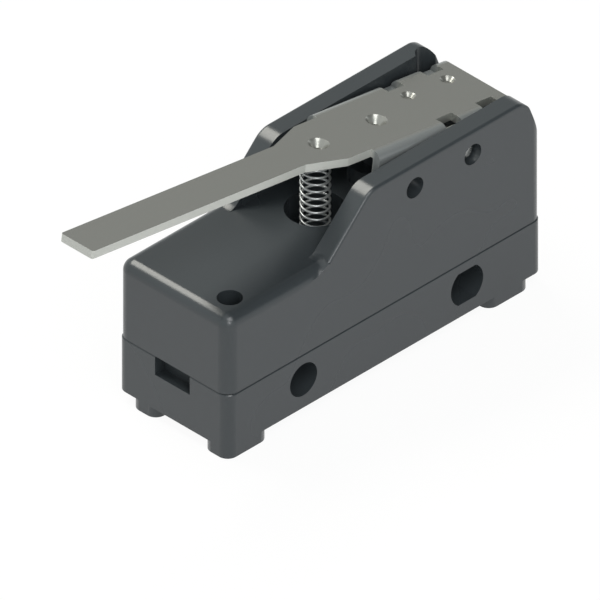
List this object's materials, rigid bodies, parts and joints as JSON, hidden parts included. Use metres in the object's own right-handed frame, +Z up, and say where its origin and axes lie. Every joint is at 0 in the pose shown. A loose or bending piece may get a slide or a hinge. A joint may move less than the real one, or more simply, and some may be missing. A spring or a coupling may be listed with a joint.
{
  "type": "lever micro switch",
  "caption": "Long-lever snap-action switch: split black housing with cross mounting holes and feet, hinged steel lever on a coil spring, plunger and changeover contacts inside.",
  "frame": {"origin": "centre of the round mounting hole, on the housing's mid-plane", "axes": "+X from the lever's tip towards the hinge end, along the housing; +Y along the mounting holes; +Z up, from the feet to the lever"},
  "size_m": [0.0639, 0.0172, 0.0327],
  "materials": {
    "moulded_black": "satin",
    "steel_sheet": "satin",
    "steel_pin": "polished",
    "spring_wire": "polished",
    "plated_steel": "satin",
    "spring_bronze": "satin",
    "brass_strip": "satin",
    "silver_contact": "polished"
  },
  "bodies": {
    "housing": {"upper_housing": "moulded_black", "lower_housing": "moulded_black", "pivot_pin": "steel_pin", "return_spring": "spring_wire", "common_terminal": "brass_strip", "closed_terminal": "brass_strip", "open_terminal": "brass_strip", "closed_contact": "silver_contact", "open_contact": "silver_contact", "terminal_screw_common": "plated_steel", "terminal_screw_closed": "plated_steel", "terminal_screw_open": "plated_steel", "clamp_plate_common": "plated_steel", "clamp_plate_closed": "plated_steel", "clamp_plate_open": "plated_steel", "housing_screw_front": "plated_steel", "housing_screw_rear": "plated_steel"},
    "lever": {"lever": "steel_sheet"},
    "plunger": {"plunger": "moulded_black"},
    "contact": {"contact_blade": "spring_bronze", "moving_contact": "silver_contact", "snap_spring": "spring_bronze"}
  },
  "joints": [
    {"name": "lever_pivot", "type": "hinge", "parent": "housing", "child": "lever", "pos_m": [0.0263, 0, 0.01715], "axis": [0, -1, 0], "range_deg": [0, 12], "stiffness_Nm_per_rad": 0.05, "springref_deg": -22.92, "deforming": ["return_spring"]},
    {"name": "plunger_slide", "type": "slide", "parent": "housing", "child": "plunger", "axis": [0, 0, -1], "range_m": [0, 0.0014]},
    {"name": "contact_swing", "type": "hinge", "parent": "housing", "child": "contact", "pos_m": [-0.0031, 0, 0.00735], "axis": [0, 1, 0], "range_deg": [0, 3.5]}
  ],
  "couplings": [
    {"joint": "plunger_slide", "follows": "lever_pivot", "m_per_rad": 0.0066},
    {"joint": "contact_swing", "follows": "lever_pivot", "ratio": 0.2895}
  ]
}
